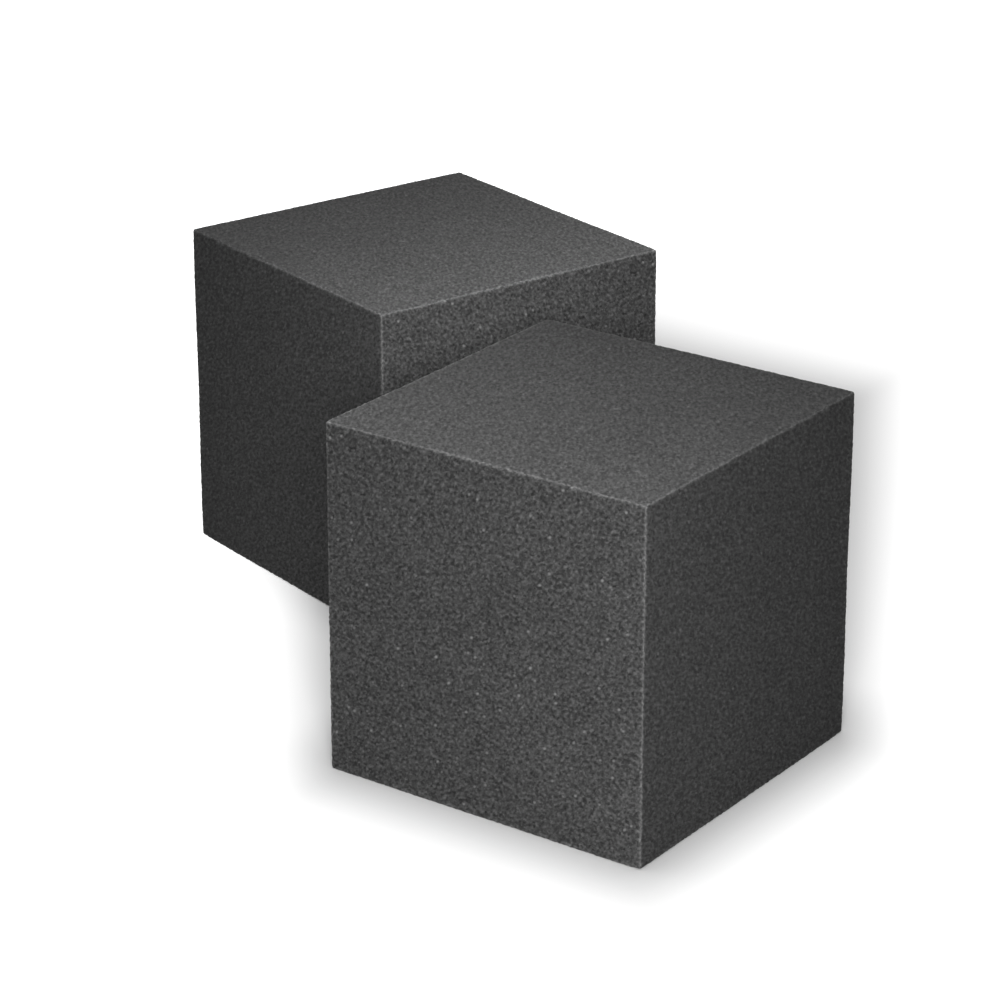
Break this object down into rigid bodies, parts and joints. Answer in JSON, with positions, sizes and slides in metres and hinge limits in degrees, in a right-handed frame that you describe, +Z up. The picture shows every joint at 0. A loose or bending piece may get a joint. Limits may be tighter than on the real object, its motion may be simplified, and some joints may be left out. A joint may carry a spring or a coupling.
{
  "type": "corner bass trap",
  "caption": "Pair of solid foam cubes that sit in room corners to absorb low frequencies, one standing behind and beside the other.",
  "frame": {"origin": "middle of the pair's footprint, on the surface that both blocks stand on", "axes": "+Z up, square to both bases; +X along the front block's wide face, towards its near corner; +Y into the front block from that face. The rear block is turned 72.5 degrees about +Z."},
  "size_m": [0.7164, 0.612, 0.3048],
  "materials": {
    "foam": "charcoal open-cell polyurethane foam, saw cut, matt with a fine sparkle of cut cell struts, paler and softened along the arrises"
  },
  "bodies": {
    "root": {"front_block": "foam", "rear_block": "foam"}
  },
  "joints": []
}
